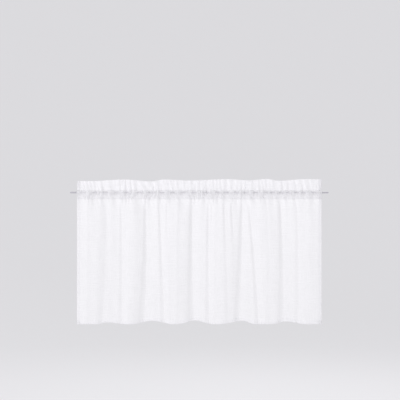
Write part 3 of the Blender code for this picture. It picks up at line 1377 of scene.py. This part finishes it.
@dataclass(frozen=True)
class Lamp:
    """A large soft area light: where it stands, the point that it faces, its side and its watts."""

    name: str
    place: Triple
    aim: Triple
    size: float
    power: float
    colour: Triple

    def build(self) -> Piece:
        """Makes the light and turns it to its point.

        Returns:
            The light.
        """
        data = bpy.data.lights.new(self.name, "AREA")
        data.shape = "SQUARE"
        data.size, data.energy, data.color = self.size, self.power, self.colour
        light = bpy.data.objects.new(self.name, data)
        light.location = self.place
        away = np.subtract(self.place, self.aim)
        tilt = math.atan2(math.hypot(away[0], away[1]), away[2])
        light.rotation_euler = (tilt, 0.0, math.atan2(away[1], away[0]) + math.pi / 2)
        bpy.context.scene.collection.objects.link(light)
        return light


@dataclass
class Studio:
    """The camera, the pale floor that sweeps up all round, and soft lights."""

    millimetres_per_pixel: float = 3.13
    picture_pixels: int = 400
    rod_row: float = 192.5
    rod_column: float = 199.3
    horizon_row: float = 259.0
    distance: float = 2.30
    sensor: float = 36.0
    floor: float = -1.00
    floor_radius: float = 4.2
    cove_radius: float = 1.6
    wall_top: float = 4.0
    middle_radius: float = 0.05
    floor_rings: int = 6
    cove_rings: int = 12
    sweep_sides: int = 64
    world_strength: float = 0.75
    lamps: tuple[Lamp, ...] = (
        Lamp("back_light", (0.6, 1.9, 2.0), (0.0, 0.0, -0.2), 2.4, 44.5, (1.0, 0.985, 1.03)),
        Lamp("front_light", (-2.0, -2.4, 1.5), (0.0, 0.0, -0.2), 2.2, 39.5, (1.0, 0.99, 1.02)),
    )

    def camera(self) -> Piece:
        """Makes the level camera.

        The lens makes a pixel cover millimetres_per_pixel at the rod, and the shift puts the
        horizon on its own row.

        Returns:
            The camera.
        """
        scale = self.millimetres_per_pixel / MILLIMETRES
        centre = self.picture_pixels / 2
        data = bpy.data.cameras.new("camera")
        data.sensor_width = self.sensor
        data.lens = self.distance / (scale * self.picture_pixels) * self.sensor
        data.shift_y = (self.horizon_row - centre) / self.picture_pixels
        camera = bpy.data.objects.new("camera", data)
        right = (centre - self.rod_column) * scale
        camera.location = (right, -self.distance, -(self.horizon_row - self.rod_row) * scale)
        camera.rotation_euler = (math.pi / 2, 0.0, 0.0)
        bpy.context.scene.collection.objects.link(camera)
        bpy.context.scene.camera = camera
        return camera

    def sweep(self) -> Piece:
        """Turns the floor, the cove and the wall about Z: a flat, a quarter circle, a straight.

        Returns:
            The sweep.
        """
        flat = np.linspace(self.middle_radius, self.floor_radius, self.floor_rings)
        angle = np.linspace(0.0, math.pi / 2, self.cove_rings + 1)[1:]
        r = np.concatenate([flat, self.floor_radius + self.cove_radius * np.sin(angle),
                            [self.floor_radius + self.cove_radius]])
        z = np.concatenate([np.zeros(len(flat)), self.cove_radius * (1.0 - np.cos(angle)),
                            [self.wall_top - self.floor]]) + self.floor
        turn = np.linspace(0.0, 2 * math.pi, self.sweep_sides + 1)
        middle = np.arange(self.sweep_sides)[None, ::-1]
        points = np.stack([r[:, None] * np.cos(turn), r[:, None] * np.sin(turn),
                           np.broadcast_to(z[:, None], (len(r), len(turn)))], axis=-1)
        faces = [grid_faces(len(r), len(turn)), middle]
        sweep = set_mesh("pale_sweep", points.reshape(-1, 3), faces)
        sweep.data.materials.append(StageFinish("studio_paper").material())
        return sweep

    def build(self) -> None:
        """Sets up the camera, the sweep, the even light from all round and the lamps."""
        self.camera()
        self.sweep()
        world = bpy.data.worlds.new("even_light")
        world.use_nodes = True
        background = world.node_tree.nodes["Background"]
        background.inputs["Color"].default_value = (1.0, 1.0, 1.0, 1.0)
        background.inputs["Strength"].default_value = self.world_strength
        bpy.context.scene.world = world
        bpy.context.scene.view_settings.view_transform = "Standard"
        for lamp in self.lamps:
            lamp.build()


def rod_sizes() -> Pair:
    """The rod's length and radius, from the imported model."""
    low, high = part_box("rod")
    return high[0] - low[0], (high[2] - low[2]) / 2


def main() -> None:
    """Builds the studio and every piece."""
    logging.basicConfig(level=logging.INFO, format="%(message)s")
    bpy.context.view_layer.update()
    Studio().build()

    drape = Drape()
    stitching = Stitching(drape)
    thread = ThreadFinish("sewing_thread").material()
    rows = []
    for seam in Seam:
        row = stitching.build(seam)
        stitching.dress(row, thread)
        rows.append(row)
        LOG.info("%s: %d faces", row.name, len(row.data.polygons))

    cloth_maker = CurtainCloth(drape)
    cloth = cloth_maker.build()
    cloth_maker.dress(cloth, VoileFinish("white_voile"), rows)

    length, radius = rod_sizes()
    rod_maker = CurtainRod(length, radius)
    rod_maker.dress(rod_maker.build(), RodPaintFinish("white_rod_paint_with_painted_shade"))


if __name__ == "__main__":
    main()
